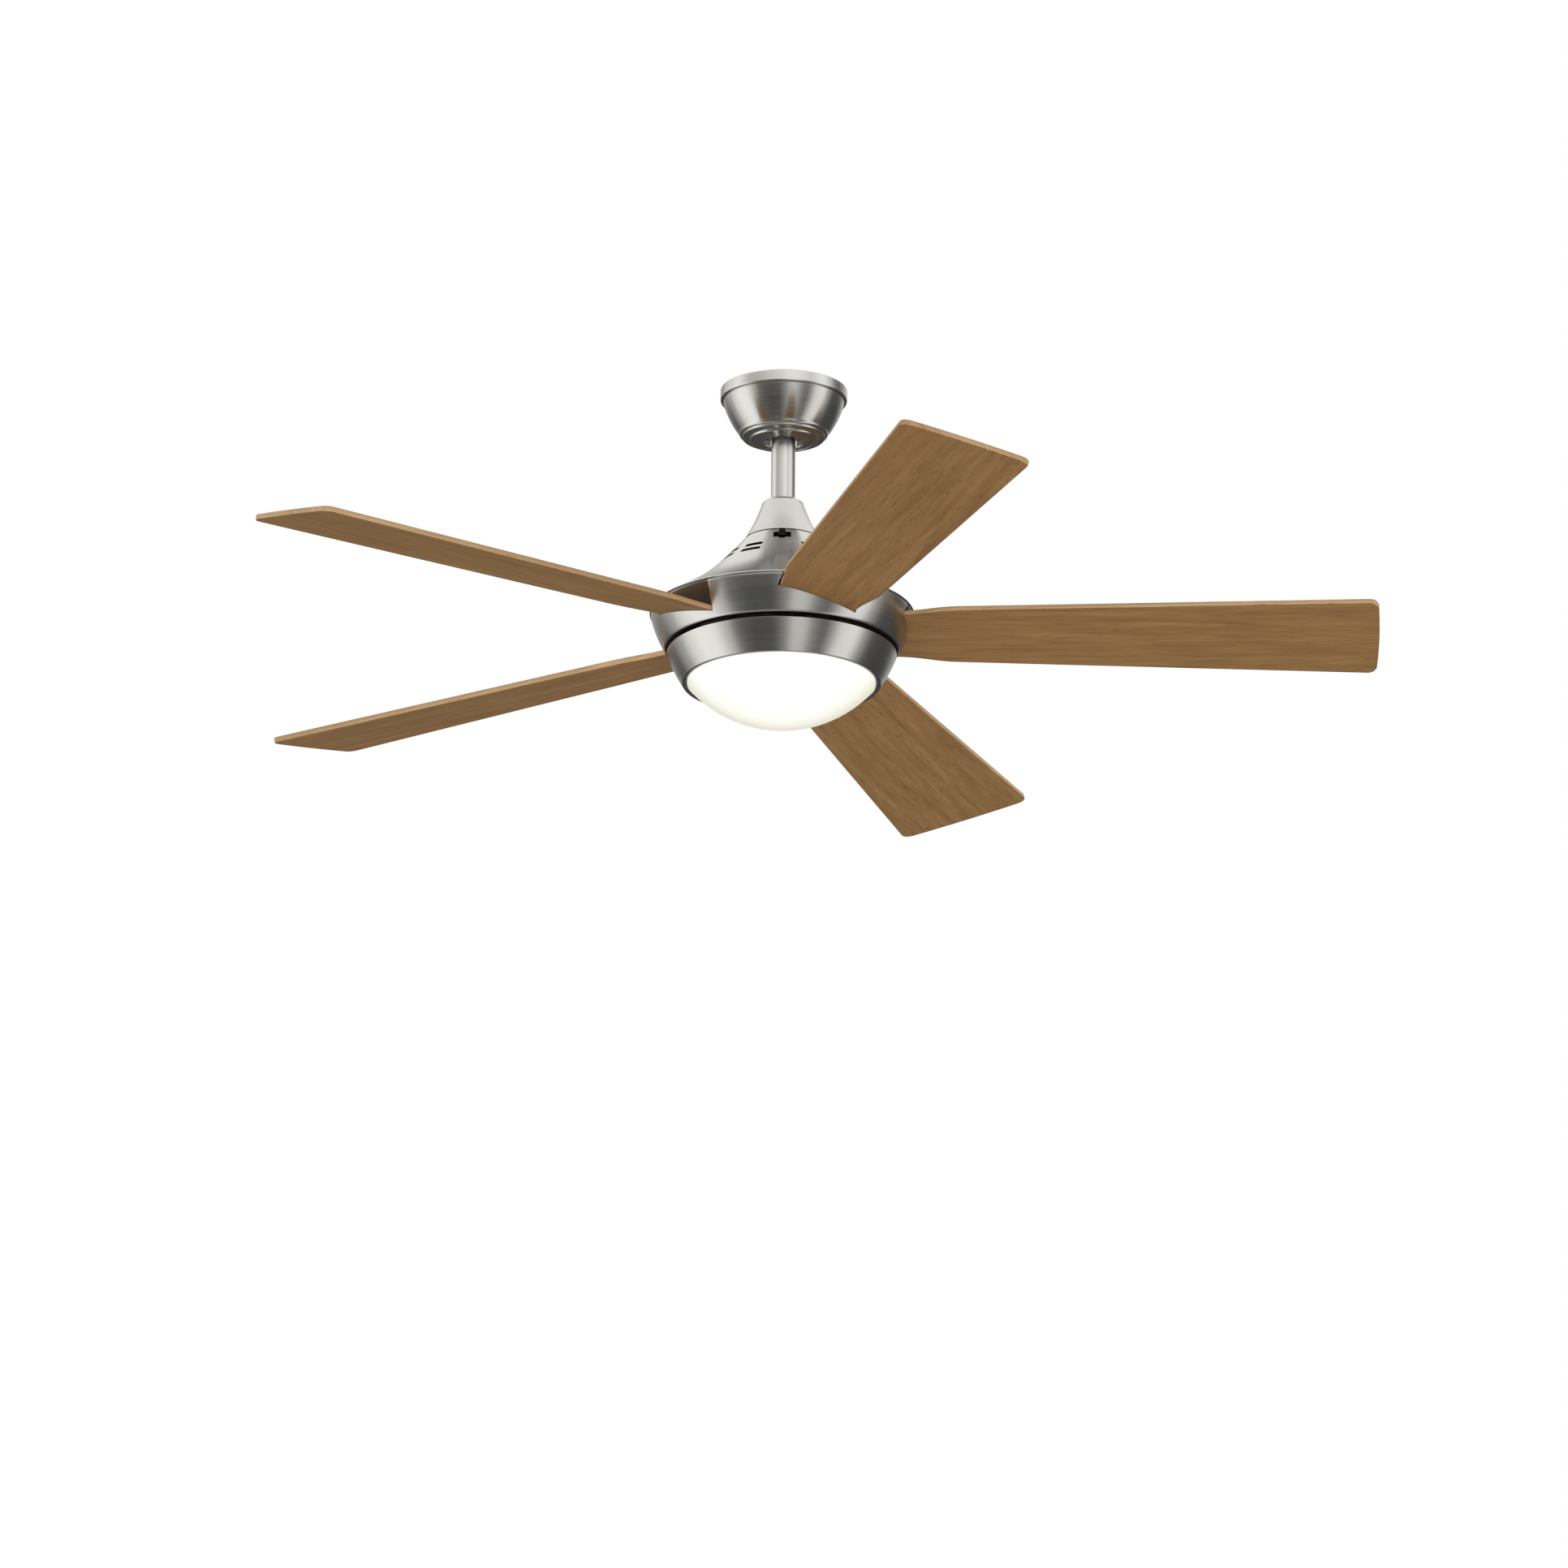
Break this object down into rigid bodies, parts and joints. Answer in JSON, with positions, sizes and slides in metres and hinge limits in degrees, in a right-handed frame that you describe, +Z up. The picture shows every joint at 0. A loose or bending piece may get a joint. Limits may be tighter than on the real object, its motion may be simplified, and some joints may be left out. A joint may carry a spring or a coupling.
{
  "type": "ceiling fan with light",
  "caption": "Down-rod ceiling fan with pitched wooden blades, a brushed metal motor housing and a round opal light below it.",
  "frame": {"origin": "centre of the ceiling plane, on the top face of the hanger bracket", "axes": "+Z up along the down rod, +X along blade 1 and the bracket's length"},
  "size_m": [1.2322, 1.2914, 0.3914],
  "materials": {
    "brushed_nickel": "brushed nickel plate, satin",
    "zinc_steel": "zinc plated, dull",
    "screw_steel": "plated steel",
    "walnut_blade": "fine straight grain, satin lacquer",
    "opal_glass": "opal, satin, lit from inside",
    "cast_aluminium": "die cast",
    "lamination_steel": "stacked laminations",
    "copper_wire": "enamelled copper",
    "magnet_ferrite": "sintered",
    "white_plastic": "moulded",
    "dark_plastic": "moulded",
    "nylon_liner": "smooth nylon",
    "board_white": "solder mask",
    "led_phosphor": "phosphor",
    "lead_insulation": "insulation"
  },
  "bodies": {
    "ceiling_mount": {"hanger_bracket": "zinc_steel", "canopy": "brushed_nickel", "canopy_bottom_cover": "brushed_nickel", "canopy_screws": "screw_steel", "receiver_module": "dark_plastic"},
    "ball_liner": {"hanger_ball_liner": "nylon_liner"},
    "hanging_frame": {"hanger_ball": "cast_aluminium", "hanger_ball_pin": "zinc_steel", "hanger_ball_set_screw": "screw_steel", "downrod": "brushed_nickel", "yoke": "zinc_steel", "clevis_pin": "zinc_steel", "clevis_clip": "zinc_steel", "yoke_set_screws": "screw_steel", "upper_housing": "brushed_nickel", "housing_screws": "screw_steel", "motor_shaft": "screw_steel", "upper_bearing_inner_race": "screw_steel", "lower_bearing_inner_race": "screw_steel", "stator_core": "lamination_steel", "stator_windings": "copper_wire", "light_pan": "zinc_steel", "shaft_nut": "zinc_steel", "light_ring": "brushed_nickel", "light_ring_screws": "screw_steel", "led_board": "board_white", "led_chips": "led_phosphor", "led_driver": "white_plastic", "motor_and_light_leads": "lead_insulation"},
    "cover": {"coupling_cover": "brushed_nickel"},
    "rotor": {"upper_bearing_outer_race": "screw_steel", "upper_bearing_balls": "screw_steel", "lower_bearing_outer_race": "screw_steel", "lower_bearing_balls": "screw_steel", "rotor_upper_cover": "cast_aluminium", "rotor_lower_cover": "cast_aluminium", "rotor_screws": "screw_steel", "rotor_magnets": "magnet_ferrite", "blade_1": "walnut_blade", "blade_2": "walnut_blade", "blade_3": "walnut_blade", "blade_4": "walnut_blade", "blade_5": "walnut_blade", "blade_arm_1": "zinc_steel", "blade_arm_2": "zinc_steel", "blade_arm_3": "zinc_steel", "blade_arm_4": "zinc_steel", "blade_arm_5": "zinc_steel", "blade_screws": "screw_steel", "blade_arm_screws": "screw_steel", "blade_bowl": "brushed_nickel", "bowl_spider": "zinc_steel", "bowl_screws": "screw_steel"},
    "dome": {"glass_dome": "opal_glass", "dome_collar": "white_plastic"}
  },
  "joints": [
    {"name": "hanger_swing_x", "type": "hinge", "parent": "ceiling_mount", "child": "ball_liner", "pos_m": [0, 0, -0.036], "axis": [1, 0, 0], "range_deg": [-11, 11]},
    {"name": "hanger_swing_y", "type": "hinge", "parent": "ball_liner", "child": "hanging_frame", "pos_m": [0, 0, -0.036], "axis": [0, 1, 0], "range_deg": [-11, 11]},
    {"name": "cover_lift", "type": "slide", "parent": "hanging_frame", "child": "cover", "axis": [0, 0, 1], "range_m": [0, 0.045]},
    {"name": "rotor_spin", "type": "hinge", "parent": "hanging_frame", "child": "rotor", "pos_m": [0, 0, -0.288], "axis": [0, 0, 1], "continuous": true},
    {"name": "dome_twist", "type": "hinge", "parent": "hanging_frame", "child": "dome", "pos_m": [0, 0, -0.344], "axis": [0, 0, -1], "range_deg": [0, 20]}
  ]
}
